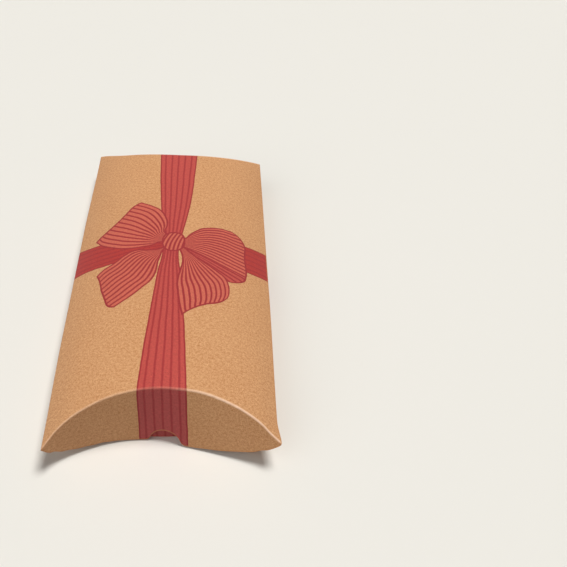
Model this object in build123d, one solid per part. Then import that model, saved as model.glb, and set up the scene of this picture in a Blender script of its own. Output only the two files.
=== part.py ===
from build123d import *
import os
from math import asin, atan2, cos, degrees, radians, sin, sqrt, tan

# A pillow box of folded board: two bowed panels, joined along both sides, whose ends close
# with flaps that hang from curved creases. Origin under the middle of the box, +Z up,
# the length along Y, the front end at -Y.

# Driving dimensions of the sleeve, in millimetres
box_width = 100.0  # between the two side folds
box_length = 214.0  # from corner to corner along a side fold
box_height = 34.0  # over the crowns of both panels
board_thickness = 0.45
crown_strip_width = 14.0  # nearly flat strip along the middle of each panel
fold_inner_radius = 0.15  # inside a side fold

# Driving dimensions of the glued seam
glue_flap_width = 13.0  # measured round the bow of the panel
glue_flap_setback = 4.0  # from the corner of the box to the end of the glue flap
glue_flap_taper = 9.0  # length that each end loses across the glue flap
glue_thickness = 0.1
glue_margin = 2.5  # bare board round the glue
seam_setback = 0.4  # from the seam fold to the raw edge of the top panel

# Driving dimensions of the end flaps
outer_flap_lean = 7.0  # degrees that a closed outer flap springs outward
outer_tip_setback = 1.0  # from the corner of the box to the blunt tip of the flap
outer_tip_depth = 3.5  # of the blunt tip, under mid height
inner_tip_setback = 3.0
inner_flap_headroom = 8.0  # under the top panel's crown, over a closed inner flap
thumb_notch_radius = 7.75
crease_gap = 0.2  # between a panel and its flap, across the crease
flap_gap = 0.5  # between the two closed flaps of an end, at their creases

# How far a cut runs past what it cuts
overrun = 3.0

# Sizes worked out from the driving dimensions
half_width = box_width / 2
half_length = box_length / 2
half_height = box_height / 2
strip_half = crown_strip_width / 2
bow_span = half_width - strip_half
arc_radius = (bow_span**2 + half_height**2) / (2 * half_height)
centre_drop = arc_radius - half_height
edge_angle = degrees(asin(centre_drop / arc_radius))
fold_radius = fold_inner_radius + board_thickness
glue_flap_radius = arc_radius - board_thickness - glue_thickness
inner_crease_setback = board_thickness + flap_gap
inner_flap_depth = box_height - inner_flap_headroom
cut_reach = box_height + overrun

# The section plane looks along the box, with the middle of its height at zero
section_plane = Plane(origin=(0, 0, half_height), x_dir=(1, 0, 0), z_dir=(0, -1, 0))
middle_plane = Plane(origin=(0, 0, half_height))


def fold_centre(upper_radius, lower_radius):
    """Finds the centre of a side fold, from the ends of the crown strip."""
    upper_reach = upper_radius - fold_radius
    lower_reach = lower_radius - fold_radius
    height = (upper_reach**2 - lower_reach**2) / (4 * centre_drop)
    across = sqrt(upper_reach**2 - (height + centre_drop) ** 2)
    return across, height


plain_fold_across, plain_fold_height = fold_centre(arc_radius, arc_radius)
seam_fold_across, seam_fold_height = fold_centre(glue_flap_radius, arc_radius)
plain_fold = (-strip_half - plain_fold_across, plain_fold_height)
seam_fold = (strip_half + seam_fold_across, seam_fold_height)
plain_angle = degrees(atan2(centre_drop + plain_fold_height, plain_fold_across))
seam_upper_angle = degrees(atan2(centre_drop + seam_fold_height, seam_fold_across))
seam_lower_angle = degrees(atan2(centre_drop - seam_fold_height, seam_fold_across))


def board_face(outer_chain, inner_chain):
    """Closes two parallel chains of edges into the section of one board."""
    outer = Wire(outer_chain)
    inner = Wire(inner_chain)
    ends = [Line(outer @ 0, inner @ 0), Line(outer @ 1, inner @ 1)]
    return make_face([*outer.edges(), *inner.edges(), *ends])


def top_chain(inset):
    """Section of the top panel at a depth in the board, from the plain fold to the seam."""
    radius = arc_radius - inset
    crown = half_height - inset
    raw_edge_angle = seam_upper_angle + degrees(seam_setback / arc_radius)
    return [
        CenterArc(plain_fold, fold_radius - inset, 180, -plain_angle),
        CenterArc((-strip_half, -centre_drop), radius, 180 - plain_angle, plain_angle - 90),
        Line((-strip_half, crown), (strip_half, crown)),
        CenterArc((strip_half, -centre_drop), radius, 90, raw_edge_angle - 90),
    ]


def bottom_chain(inset):
    """Section of the bottom panel at a depth in the board, from fold to fold."""
    radius = arc_radius - inset
    crown = inset - half_height
    return [
        CenterArc(plain_fold, fold_radius - inset, 180, plain_angle),
        CenterArc((-strip_half, centre_drop), radius, 180 + plain_angle, 90 - plain_angle),
        Line((-strip_half, crown), (strip_half, crown)),
        CenterArc((strip_half, centre_drop), radius, 270, 90 - seam_lower_angle),
        CenterArc(seam_fold, fold_radius - inset, 360 - seam_lower_angle, seam_lower_angle),
    ]


def glue_flap_chain(inset):
    """Section of the glue flap at a depth in the board, from the seam fold inward."""
    radius = glue_flap_radius - inset
    sweep = degrees(glue_flap_width / glue_flap_radius)
    return [
        CenterArc(seam_fold, fold_radius - inset, 0, seam_upper_angle),
        CenterArc((strip_half, -centre_drop), radius, seam_upper_angle, sweep),
    ]


def glue_chain(inset):
    """Section of the glue at a depth under the top panel's inner face."""
    radius = arc_radius - board_thickness - inset
    start = seam_upper_angle + degrees(glue_margin / glue_flap_radius)
    sweep = degrees((glue_flap_width - 2 * glue_margin) / glue_flap_radius)
    return [CenterArc((strip_half, -centre_drop), radius, start, sweep)]


def along_box(face, reach):
    """Runs a section along the box, as far to the front as to the rear."""
    return extrude(section_plane * face, amount=reach, both=True)


def crown_chain(depth_share, thickness=0, crown_thickness=0):
    """Bow of a panel as a chain of edges, with its height scaled by one share.

    A thickness moves the bow outward by as much at its sides, and by crown_thickness at
    its crown.
    """
    across = arc_radius + thickness
    up = abs(depth_share) * arc_radius + crown_thickness
    centre = -abs(depth_share) * centre_drop
    sweep = 90 - edge_angle
    bow = [
        EllipticalCenterArc((-strip_half, centre), across, up, 90, arc_size=sweep),
        Line((-strip_half, centre + up), (strip_half, centre + up)),
        EllipticalCenterArc((strip_half, centre), across, up, edge_angle, arc_size=sweep),
    ]
    if depth_share > 0:
        return bow
    return [mirror(edge, about=Plane.XZ) for edge in bow]


def region(depth_share, far_side):
    """Face between a bow and a straight line on one side of it."""
    side = half_width + overrun
    frame = Polyline(
        (half_width, 0),
        (side, 0),
        (side, far_side),
        (-side, far_side),
        (-side, 0),
        (-half_width, 0),
    )
    return make_face([*crown_chain(depth_share), *frame.edges()])


def crease_tool(corner_y):
    """Space on the flap's side of the top panel's front crease.

    The crease lies in a plane that slopes at 45 degrees from the corners of the box, so
    the panel and its flap mirror each other. The mitre between them is square to it.
    """
    plane = Plane(origin=(0, corner_y, half_height), x_dir=(1, 0, 0), z_dir=(0, -1, 1))
    return extrude(plane * region(sqrt(2), -cut_reach), amount=cut_reach, both=True)


def flap(corner_y, lean, crown_depth, tip_depth, tip_setback):
    """Makes a closed front flap that hangs from the top panel's crease.

    Its face is the run of the crease along one direction, which leans out from the
    vertical. The two depths are those of its free edge under mid height.
    """
    plan_share = 1 - tan(radians(lean))
    crown_thickness = board_thickness / cos(radians(lean))
    outer = crown_chain(plan_share)
    inner = crown_chain(plan_share, board_thickness, crown_thickness)
    plan = Pos(0, corner_y, half_height) * board_face(outer, inner)
    direction = Vector(0, -sin(radians(lean)), -cos(radians(lean)))
    plate = extrude(plan, amount=cut_reach, dir=direction, both=True)

    opened_crease = Pos(0, -crease_gap / sqrt(2), -crease_gap / sqrt(2))
    below_crease = opened_crease * crease_tool(corner_y)

    free_share = (crown_depth - tip_depth) / half_height
    front_view = section_plane * Pos(0, -tip_depth) * region(-free_share, cut_reach)
    outline = extrude(front_view, amount=half_length + overrun)
    tip_to_tip = Box(box_width - 2 * tip_setback, box_length + overrun, 2 * cut_reach)
    return plate & below_crease & outline & tip_to_tip


def outer_flap():
    """Makes the front outer flap, with the thumb notch in its free edge."""
    crown_depth = box_height * cos(radians(outer_flap_lean)) - half_height
    blank = flap(
        -half_length, outer_flap_lean, crown_depth, outer_tip_depth, outer_tip_setback
    )
    notch = section_plane * Pos(0, -crown_depth) * Circle(thumb_notch_radius)
    return blank - extrude(notch, amount=half_length + overrun)


def inner_flap():
    """Makes the front inner flap, which stands up from the bottom panel."""
    crown_depth = inner_flap_depth - half_height
    corner_y = -half_length + inner_crease_setback
    hanging = flap(corner_y, 0, crown_depth, 0, inner_tip_setback)
    return mirror(hanging, about=middle_plane)


def top_panel():
    """Makes the top panel, mitred to both outer creases."""
    blank = along_box(board_face(top_chain(0), top_chain(board_thickness)), half_length)
    front = crease_tool(-half_length)
    return blank - front - mirror(front, about=Plane.XZ)


def bottom_panel():
    """Makes the bottom panel, mitred to both inner creases."""
    blank = along_box(board_face(bottom_chain(0), bottom_chain(board_thickness)), half_length)
    front = mirror(crease_tool(-half_length + inner_crease_setback), about=middle_plane)
    return blank - front - mirror(front, about=Plane.XZ)


def glue_flap():
    """Makes the glue flap, with both ends tapered clear of the inner flaps."""
    blank = along_box(
        board_face(glue_flap_chain(0), glue_flap_chain(board_thickness)), half_length
    )
    free_angle = radians(seam_upper_angle) + glue_flap_width / glue_flap_radius
    free_x = strip_half + (glue_flap_radius - board_thickness) * cos(free_angle)
    root_y = half_length - glue_flap_setback
    free_y = root_y - glue_flap_taper
    plan = Polyline(
        (half_width, root_y),
        (free_x, free_y),
        (free_x, -free_y),
        (half_width, -root_y),
        close=True,
    )
    return blank & extrude(make_face(plan.edges()), amount=box_height)


def glue_line():
    """Makes the strip of glue between the glue flap and the top panel."""
    reach = half_length - glue_flap_setback - glue_flap_taper - glue_margin
    return along_box(board_face(glue_chain(0), glue_chain(glue_thickness)), reach)


front_outer_flap = outer_flap()
front_inner_flap = inner_flap()
nodes = {
    "top_panel": top_panel(),
    "bottom_panel": bottom_panel(),
    "glue_flap": glue_flap(),
    "glue_line": glue_line(),
    "front_outer_flap": front_outer_flap,
    "front_inner_flap": front_inner_flap,
    "rear_outer_flap": mirror(front_outer_flap, about=Plane.XZ),
    "rear_inner_flap": mirror(front_inner_flap, about=Plane.XZ),
}

os.makedirs("parts", exist_ok=True)
for name, solid in nodes.items():
    export_step(solid, f"parts/{name}.step")
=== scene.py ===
"""Pillow box of printed kraft board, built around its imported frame. Sizes are in millimetres."""

import logging
import math
from collections.abc import Sequence
from dataclasses import dataclass, replace
from enum import Enum

import bmesh
import bpy
import numpy as np
from mathutils import Matrix, Vector

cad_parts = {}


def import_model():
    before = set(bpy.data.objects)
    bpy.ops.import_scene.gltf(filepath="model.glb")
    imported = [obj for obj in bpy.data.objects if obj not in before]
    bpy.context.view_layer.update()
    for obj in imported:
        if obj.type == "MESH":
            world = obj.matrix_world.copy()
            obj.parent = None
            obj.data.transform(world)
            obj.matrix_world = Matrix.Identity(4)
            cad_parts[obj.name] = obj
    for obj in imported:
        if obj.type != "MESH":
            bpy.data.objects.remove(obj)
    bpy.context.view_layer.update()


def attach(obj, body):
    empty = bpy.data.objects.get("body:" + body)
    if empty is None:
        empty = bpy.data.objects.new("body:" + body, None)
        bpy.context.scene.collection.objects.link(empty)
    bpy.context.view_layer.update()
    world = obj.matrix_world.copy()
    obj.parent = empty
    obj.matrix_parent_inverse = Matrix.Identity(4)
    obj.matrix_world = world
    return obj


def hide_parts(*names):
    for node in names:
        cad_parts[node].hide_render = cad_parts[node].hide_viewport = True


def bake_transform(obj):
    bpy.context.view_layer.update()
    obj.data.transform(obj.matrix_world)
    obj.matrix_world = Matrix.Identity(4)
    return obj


LOG = logging.getLogger("pillow_box")
MILLIMETRE = 0.001

# The UV maps hold places on the flat sheet, and distances from the nearest crease and cut.
FLAT_MAP = "flat"
WEAR_MAP = "wear"
FAR_AWAY = 99.0

# Rows of a strip along the seam, and the rate at which the glue's ends wander across it.
STRIP_ROWS = 101
GLUE_WAVES = 2.1

# A gap between points that are the same, and a length that nothing is divided by less than,
# in millimetres; an edge without length, in metres; the angle of a sharp border, in degrees.
TOUCHING = 1e-6
TINY = 1e-9
NO_LENGTH = 1e-7
SHARP_ANGLE = 38.0

# Sockets of the mix node that belong to colours. They share their names with others of it.
MIX_SHARE, MIX_FIRST, MIX_SECOND, MIX_RESULT = 0, 6, 7, 2

Colour = tuple[float, float, float]
Points = Sequence[tuple[float, float]]
Arc = tuple[float, float, float, float, float, int]


class End(Enum):
    """Ends of the box, by the sign of Y on their side."""

    FRONT = -1
    REAR = 1

    @property
    def title(self) -> str:
        """Name of the end as the frame spells it."""
        return self.name.lower()


class Side(Enum):
    """Panels of the box with what hangs on them, by the sign of their height over mid height."""

    TOP = 1
    BOTTOM = -1


class Face(Enum):
    """Kinds of surface on one board, in the order of its material slots."""

    OUTSIDE = 0
    INSIDE = 1
    CUT = 2


class Border(Enum):
    """What a border of a board is: a cut through the sheet, or a line where it goes on."""

    CUT = "cut"
    JOINED = "joined"


def smooth(value: np.ndarray | float) -> np.ndarray | float:
    """Eases a value from 0 to 1, and holds it at both ends."""
    held = np.clip(value, 0.0, 1.0)
    return held * held * (3.0 - 2.0 * held)


def eased(value: np.ndarray, marks: Points) -> np.ndarray:
    """Goes smoothly from mark to mark.

    Args:
        value: where it is read.
        marks: places in rising order, each with its height.

    Returns:
        The height at each value.
    """
    total = np.full_like(value, marks[0][1])
    for (low, before), (high, after) in zip(marks, marks[1:]):
        total += (after - before) * smooth((value - low) / (high - low))
    return total


# The folded sheet


@dataclass(frozen=True)
class Section:
    """Line of a board's outer face across the box.

    x and z are its points, with z over mid height; nx and nz are its outward normals; run
    is the length round it from the middle of the crown.
    """

    x: np.ndarray
    z: np.ndarray
    nx: np.ndarray
    nz: np.ndarray
    run: np.ndarray

    @classmethod
    def of(cls, arcs: Sequence[Arc]) -> "Section":
        """Joins arcs into one line.

        Args:
            arcs: centre x, centre z, radius, first angle, last angle and steps of each
                arc, in order, with the angles in degrees.

        Returns:
            The section, whose run starts at its first point.
        """
        rows: list[np.ndarray] = []
        for number, (cx, cz, radius, first, last, steps) in enumerate(arcs):
            angle = np.radians(np.linspace(first, last, steps + 1))
            if number:
                gap = math.hypot(
                    rows[-1][-1, 0] - cx - radius * math.cos(angle[0]),
                    rows[-1][-1, 1] - cz - radius * math.sin(angle[0]),
                )
                angle = angle[1:] if gap < TOUCHING else angle
            c, s = np.cos(angle), np.sin(angle)
            rows.append(np.stack([cx + radius * c, cz + radius * s, c, s], 1))
        x, z, nx, nz = np.concatenate(rows).T
        run = np.concatenate([[0.0], np.cumsum(np.hypot(np.diff(x), np.diff(z)))])
        return cls(x, z, nx, nz, run)

    def centred(self) -> "Section":
        """The same section with its run counted from x = 0."""
        at_middle = float(np.interp(0.0, self.x, self.run))
        return Section(self.x, self.z, self.nx, self.nz, self.run - at_middle)

    def inner(self, depth: float) -> tuple[np.ndarray, np.ndarray]:
        """Points of the face that lies a depth under this one."""
        return self.x - self.nx * depth, self.z - self.nz * depth


@dataclass(frozen=True)
class Blank:
    """Sizes of the sheet as it is folded, the same as the frame's.

    strip_half is half of the flat strip along each crown. inner_setback is how far the
    bottom panel's creases lie inside the corners, seam_setback how far the raw edge stops
    short of the seam's fold, and glue_flap_setback how far the glue flap's ends lie inside
    the corners.
    """

    width: float = 100.0
    length: float = 214.0
    height: float = 34.0
    board: float = 0.45
    strip_half: float = 7.0
    fold_radius: float = 0.6
    inner_setback: float = 0.95
    seam_setback: float = 0.4
    glue: float = 0.1
    glue_flap_width: float = 13.0
    glue_flap_setback: float = 4.0
    glue_flap_taper: float = 9.0
    glue_margin: float = 2.5
    flat_radius: float = 1.0e6
    arc_steps: int = 46
    fold_steps: int = 6
    strip_steps: int = 14
    glue_flap_steps: int = 14
    glue_steps: int = 10

    @property
    def half_length(self) -> float:
        """Half of the length over the corners."""
        return self.length / 2

    @property
    def half_height(self) -> float:
        """Half of the height over both crowns."""
        return self.height / 2

    @property
    def bow_radius(self) -> float:
        """Radius of a panel's bow beside its crown strip."""
        span = self.width / 2 - self.strip_half
        return (span**2 + self.half_height**2) / (2 * self.half_height)

    @property
    def drop(self) -> float:
        """How far the bow's centre is under mid height."""
        return self.bow_radius - self.half_height

    @property
    def glue_flap_radius(self) -> float:
        """Radius of the glue flap's bow, inside the top panel and the glue."""
        return self.bow_radius - self.board - self.glue

    def rise(self, x: np.ndarray) -> np.ndarray:
        """Height of the top panel's outer face over mid height."""
        beside = np.maximum(np.abs(x) - self.strip_half, 0.0)
        return np.sqrt(self.bow_radius**2 - beside**2) - self.drop

    def steepness(self, x: np.ndarray) -> np.ndarray:
        """Length of the bow's slope for each millimetre of x."""
        beside = np.maximum(np.abs(x) - self.strip_half, 0.0)
        return self.bow_radius / np.sqrt(self.bow_radius**2 - beside**2)

    def fold(self, upper: float, lower: float) -> tuple[float, float, float, float]:
        """Finds a side fold between two bows.

        Args:
            upper: radius of the bow over mid height.
            lower: radius of the bow under mid height.

        Returns:
            The fold's distance from the end of the crown strip, its height, and the
            angles where the upper and the lower bow run into it, in degrees.
        """
        a, b = upper - self.fold_radius, lower - self.fold_radius
        height = (a**2 - b**2) / (4 * self.drop)
        across = math.sqrt(a**2 - (height + self.drop) ** 2)
        up = math.degrees(math.atan2(self.drop + height, across))
        down = math.degrees(math.atan2(self.drop - height, across))
        return across, height, up, down

    def _crown(self, side: Side) -> Arc:
        """Draws a crown strip as an arc so wide that it is flat.

        Args:
            side: the panel that it belongs to.

        Returns:
            The arc.
        """
        turn = side.value * math.degrees(self.strip_half / self.flat_radius)
        middle = 90.0 if side is Side.TOP else 270.0
        z = side.value * (self.half_height - self.flat_radius)
        return 0.0, z, self.flat_radius, middle + turn, middle - turn, self.strip_steps

    def top_section(self) -> Section:
        """Draws the top panel, from the plain fold to its raw edge at the seam.

        Returns:
            Its outer line.
        """
        across, height, up, _ = self.fold(self.bow_radius, self.bow_radius)
        seam_up = self.fold(self.glue_flap_radius, self.bow_radius)[2]
        raw = seam_up + math.degrees(self.seam_setback / self.bow_radius)
        side = self.strip_half
        return Section.of([
            (-side - across, height, self.fold_radius, 180.0, 180.0 - up, self.fold_steps),
            (-side, -self.drop, self.bow_radius, 180.0 - up, 90.0, self.arc_steps),
            self._crown(Side.TOP),
            (side, -self.drop, self.bow_radius, 90.0, raw, self.arc_steps),
        ]).centred()

    def bottom_section(self) -> Section:
        """Draws the bottom panel, from the plain fold to the middle of the seam fold.

        Returns:
            Its outer line.
        """
        across, height, _, down = self.fold(self.bow_radius, self.bow_radius)
        seam_across, seam_height, _, seam_down = self.fold(self.glue_flap_radius, self.bow_radius)
        side = self.strip_half
        return Section.of([
            (-side - across, height, self.fold_radius, 180.0, 180.0 + down, self.fold_steps),
            (-side, self.drop, self.bow_radius, 180.0 + down, 270.0, self.arc_steps),
            self._crown(Side.BOTTOM),
            (side, self.drop, self.bow_radius, 270.0, 360.0 - seam_down, self.arc_steps),
            (side + seam_across, seam_height, self.fold_radius, 360.0 - seam_down, 360.0,
             self.fold_steps),
        ]).centred()

    def glue_flap_section(self) -> Section:
        """Draws the glue flap, from the middle of the seam fold inward.

        Returns:
            Its outer line.
        """
        across, height, up, _ = self.fold(self.glue_flap_radius, self.bow_radius)
        sweep = math.degrees(self.glue_flap_width / self.glue_flap_radius)
        side = self.strip_half
        return Section.of([
            (side + across, height, self.fold_radius, 0.0, up, self.fold_steps),
            (side, -self.drop, self.glue_flap_radius, up, up + sweep, self.glue_flap_steps),
        ])

    def glue_section(self) -> Section:
        """Draws the glue under the top panel's inner face.

        Returns:
            Its outer line.
        """
        radius = self.bow_radius - self.board
        up = self.fold(self.glue_flap_radius, self.bow_radius)[2]
        start = up + math.degrees(self.glue_margin / self.glue_flap_radius)
        wide = self.glue_flap_width - 2 * self.glue_margin
        sweep = math.degrees(wide / self.glue_flap_radius)
        return Section.of([(self.strip_half, -self.drop, radius, start, start + sweep, self.glue_steps)])


@dataclass(frozen=True)
class Settling:
    """How the made-up box differs from its drawing.

    The panels wave a little, the sides belly out, the rear end sits lower, the front of
    the top panel bulges, the corners stick out as ears, and the front of the bottom panel
    has a foot. bulges holds the place, the breadth and the height of each bulge across the
    box, and bulge_marks how strong they are along it. spreads holds, for the left and for
    the right side fold, how far it stands out along the box. An ear's start is the share
    of the way to the corner at which it begins.
    """

    wave: float = 0.11
    wave_lengths: tuple[float, ...] = (71.0, 47.0, 33.0)
    wave_turns: tuple[float, ...] = (0.4, 2.1, 4.0)
    wave_phase: float = 3.0
    quiet_margin: float = 16.0
    bulges: tuple[tuple[float, float, float], ...] = (
        (-1.5, 9.5, 0.72), (26.0, 9.0, -0.34), (-40.0, 6.0, 0.35), (42.0, 4.0, 0.3),
    )
    bulge_marks: Points = ((-84.0, 1.0), (-20.0, 0.0))
    spreads: tuple[Points, Points] = (
        ((-104.0, 0.0), (-50.0, 0.6), (35.0, 0.55), (107.0, -0.2)),
        ((-100.0, 0.0), (-10.0, 0.85), (107.0, 1.4)),
    )
    rear_drop: Points = ((10.0, 0.0), (100.0, 0.036))
    ear_start: float = 0.88
    rear_ear_start: float = 0.6
    front_left_ear: float = 1.2
    front_right_ear: float = 1.45
    rear_left_ear: float = 2.6
    foot: float = 0.95
    foot_breadth: float = 14.0
    foot_top: float = 20.0

    def lift(self, x: np.ndarray, y: np.ndarray, blank: Blank) -> np.ndarray:
        """Height of the panels' waves, which die out towards folds and creases.

        Args:
            x: distance from the middle of the box.
            y: distance along the box.
            blank: sizes of the sheet.

        Returns:
            How far each point stands out.
        """
        total = np.zeros_like(x)
        for length, turn in zip(self.wave_lengths, self.wave_turns):
            rate = 2 * math.pi / length
            total += np.sin(rate * (x * math.cos(turn) + y * math.sin(turn)) + self.wave_phase * turn)
        from_side = blank.width / 2 - np.abs(x)
        from_crease = blank.half_length - blank.rise(x) - np.abs(y)
        calm = smooth(from_side / self.quiet_margin) * smooth(from_crease / self.quiet_margin)
        return self.wave * total / len(self.wave_lengths) * calm

    def settled(self, points: np.ndarray, side: Side, blank: Blank) -> np.ndarray:
        """Moves a piece's points to where they are on the made-up box.

        Args:
            points: as drawn, over the table.
            side: the panel that they belong to.
            blank: sizes of the sheet.

        Returns:
            The moved points.
        """
        x, y, z = points[..., 0], points[..., 1], points[..., 2]
        out = x / (blank.width / 2)
        moved = points.copy()
        moved[..., 0] += np.abs(out) * np.where(
            x < 0, -eased(y, self.spreads[0]), eased(y, self.spreads[1])
        )
        moved[..., 2] *= 1.0 - eased(y, self.rear_drop)
        if side is Side.TOP:
            humps = [rise * np.exp(-(((x - place) / wide) ** 2)) for place, wide, rise in self.bulges]
            bulge = sum(humps) * eased(y, self.bulge_marks)
            moved[..., 1] += bulge
            moved[..., 2] += bulge
        else:
            low = smooth(1.0 - z / self.foot_top) * np.exp(-((x / self.foot_breadth) ** 2))
            moved[..., 1] -= self.foot * low * smooth((-y - blank.half_length / 2) / self.foot_top)
        along, ear = y / blank.half_length, 1.0 - self.ear_start
        front = smooth((-along - self.ear_start) / ear)
        rear = smooth((along - 1.0 + 2 * ear) / (2 * ear))
        left = smooth((-out - self.ear_start) / ear)
        right = smooth((out - self.ear_start) / ear)
        rear_left = smooth((-out - self.rear_ear_start) / (1.0 - self.rear_ear_start))
        moved[..., 1] += self.rear_left_ear * rear * rear_left - self.front_left_ear * front * left
        moved[..., 0] += self.front_right_ear * front * right
        return moved


@dataclass(frozen=True)
class Lean:
    """Angle of a closed outer flap from the vertical, in degrees, from side to side.

    twist is how much more it leans far to the right of twist_x, and how much less far to
    the left of it. left_side and right_side are added at the corners.
    """

    middle: float = 6.6
    twist: float = 5.4
    twist_x: float = 2.0
    twist_reach: float = 14.0
    left_side: float = 0.5
    right_side: float = 7.0

    def at(self, x: np.ndarray, blank: Blank) -> np.ndarray:
        """Finds the lean across the flap.

        Args:
            x: where it is read.
            blank: sizes of the sheet.

        Returns:
            The lean at each x, in radians.
        """
        turned = self.twist * np.tanh((x - self.twist_x) / self.twist_reach)
        sides = np.where(x < 0, self.left_side, self.right_side) * (2 * x / blank.width) ** 2
        return np.radians(self.middle + turned + sides)


@dataclass(frozen=True)
class Crease:
    """Rounded crease between a panel and its flap, in slices across the box.

    A slice is a plane of one x. There the panel runs level, the flap runs down at its
    lean, and two arcs about one centre join their outer and their inner faces. z counts
    from mid height towards the panel's crown.
    """

    blank: Blank
    corner_y: float
    lean: Lean | None
    inner_radius: float = 0.2
    steps: int = 4

    @property
    def shares(self) -> np.ndarray:
        """Shares of the way along half an arc, by row."""
        return np.linspace(0.0, 1.0, self.steps + 1)[:, None]

    def leaning(self, x: np.ndarray) -> np.ndarray:
        """Lean of the flap at each x, in radians."""
        return self.lean.at(x, self.blank) if self.lean else np.zeros_like(x)

    def halfway(self, x: np.ndarray) -> np.ndarray:
        """Angle at the middle of the arcs, where the panel's half meets the flap's, at each x."""
        return (math.pi / 2 + math.pi - self.leaning(x)) / 2

    def centre(self, x: np.ndarray, height: np.ndarray, thick: np.ndarray) -> tuple[np.ndarray, ...]:
        """Finds the arcs of each slice.

        Args:
            x: where the slices are.
            height: of the outer face over mid height, in each slice.
            thick: thickness of the board in each slice.

        Returns:
            The centre's y and z, the radius of the outer arc, and the distance from the
            sharp corner to where that arc starts.
        """
        radius = self.inner_radius + thick
        reach = radius * np.tan(math.pi / 4 - self.leaning(x) / 2)
        return self.corner_y + height + reach, height - radius, radius, reach


# Meshes


@dataclass
class Board:
    """One region of the sheet as a closed mesh: two faces and four borders.

    outer and inner hold points by row and column, with z over the table. flat holds each
    point's place on the flat sheet, and wear its distances from the nearest crease and
    the nearest cut. borders are those of the first row, last row, first column and last
    column.
    """

    name: str
    outer: np.ndarray
    inner: np.ndarray
    flat: np.ndarray
    wear: np.ndarray
    borders: tuple[Border, Border, Border, Border]
    cut_swell: float = 0.045
    cut_steps: int = 3

    def mesh(self) -> bpy.types.Mesh:
        """Builds the mesh.

        Returns:
            The mesh, in metres, with its two UV maps and its material indices.
        """
        rows, columns = self.outer.shape[:2]
        size = rows * columns
        points = [self.outer.reshape(-1, 3), self.inner.reshape(-1, 3)]
        maps = [np.concatenate([self.flat, self.wear], -1).reshape(-1, 4)] * 2
        index = np.arange(size).reshape(rows, columns)
        quads = self._grid(index)
        faces = [quads, quads + size]
        kinds = [Face.OUTSIDE] * len(quads) + [Face.INSIDE] * len(quads)
        count = 2 * size
        lines = (index[0], index[-1], index[:, 0], index[:, -1])
        behind = (index[1], index[-2], index[:, 1], index[:, -2])
        corners: dict[tuple[int, int], np.ndarray] = {}
        for line, back, border in zip(lines, behind, self.borders):
            steps = self.cut_steps
            share = np.linspace(0.0, 1.0, steps + 1)[1:-1]
            outer, inner = points[0][line], points[1][line]
            away = outer - points[0][back]
            away /= np.maximum(np.linalg.norm(away, axis=1, keepdims=True), TINY)
            swell = self.cut_swell if border is Border.CUT else 0.0
            between = [line]
            for part in share:
                row = np.arange(count, count + len(line))
                moved = outer * (1 - part) + inner * part + away * swell * math.sin(math.pi * part)
                for end in (0, -1):
                    key = (int(line[end]), round(part * steps))
                    if key in corners:
                        row[end] = corners[key][0]
                        corners[key][1:] = (corners[key][1:] + moved[end]) / 2
                    else:
                        corners[key] = np.array([row[end], *moved[end]])
                points.append(moved)
                maps.append(maps[0][line])
                between.append(row)
                count += len(line)
            between.append(line + size)
            strip = self._grid(np.array(between))
            faces.append(strip)
            kinds += [Face.CUT] * len(strip)
        place = np.concatenate(points)
        for key, entry in corners.items():
            place[int(entry[0])] = entry[1:]
        return self._made(place, np.concatenate(maps), np.concatenate(faces), kinds)

    @staticmethod
    def _grid(index: np.ndarray) -> np.ndarray:
        """Quads between the neighbours of an array of vertex numbers."""
        near, far = index[:-1], index[1:]
        return np.stack([near[:, :-1], near[:, 1:], far[:, 1:], far[:, :-1]], -1).reshape(-1, 4)

    def _made(self, place: np.ndarray, maps: np.ndarray, faces: np.ndarray,
              kinds: list[Face]) -> bpy.types.Mesh:
        """Turns the arrays into a clean mesh.

        Args:
            place: points in millimetres.
            maps: both UV places of each point.
            faces: four points each.
            kinds: the kind of each face.

        Returns:
            The mesh, smooth but for its sharp borders.
        """
        mesh = bpy.data.meshes.new(self.name)
        mesh.from_pydata((place * MILLIMETRE).tolist(), [], faces.tolist())
        mesh.polygons.foreach_set("material_index", [kind.value for kind in kinds])
        corner = np.zeros(len(mesh.loops), np.int32)
        mesh.loops.foreach_get("vertex_index", corner)
        for title, columns in ((FLAT_MAP, maps[:, :2]), (WEAR_MAP, maps[:, 2:])):
            layer = mesh.uv_layers.new(name=title)
            layer.data.foreach_set("uv", columns[corner].astype(np.float32).ravel())
        work = bmesh.new()
        work.from_mesh(mesh)
        bmesh.ops.delete(work, geom=[v for v in work.verts if not v.link_faces], context="VERTS")
        bmesh.ops.dissolve_degenerate(work, dist=NO_LENGTH, edges=work.edges)
        bmesh.ops.recalc_face_normals(work, faces=work.faces)
        work.to_mesh(mesh)
        work.free()
        mesh.shade_smooth()
        mesh.set_sharp_from_angle(angle=math.radians(SHARP_ANGLE))
        mesh.update()
        return mesh


# Shader wiring


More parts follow.
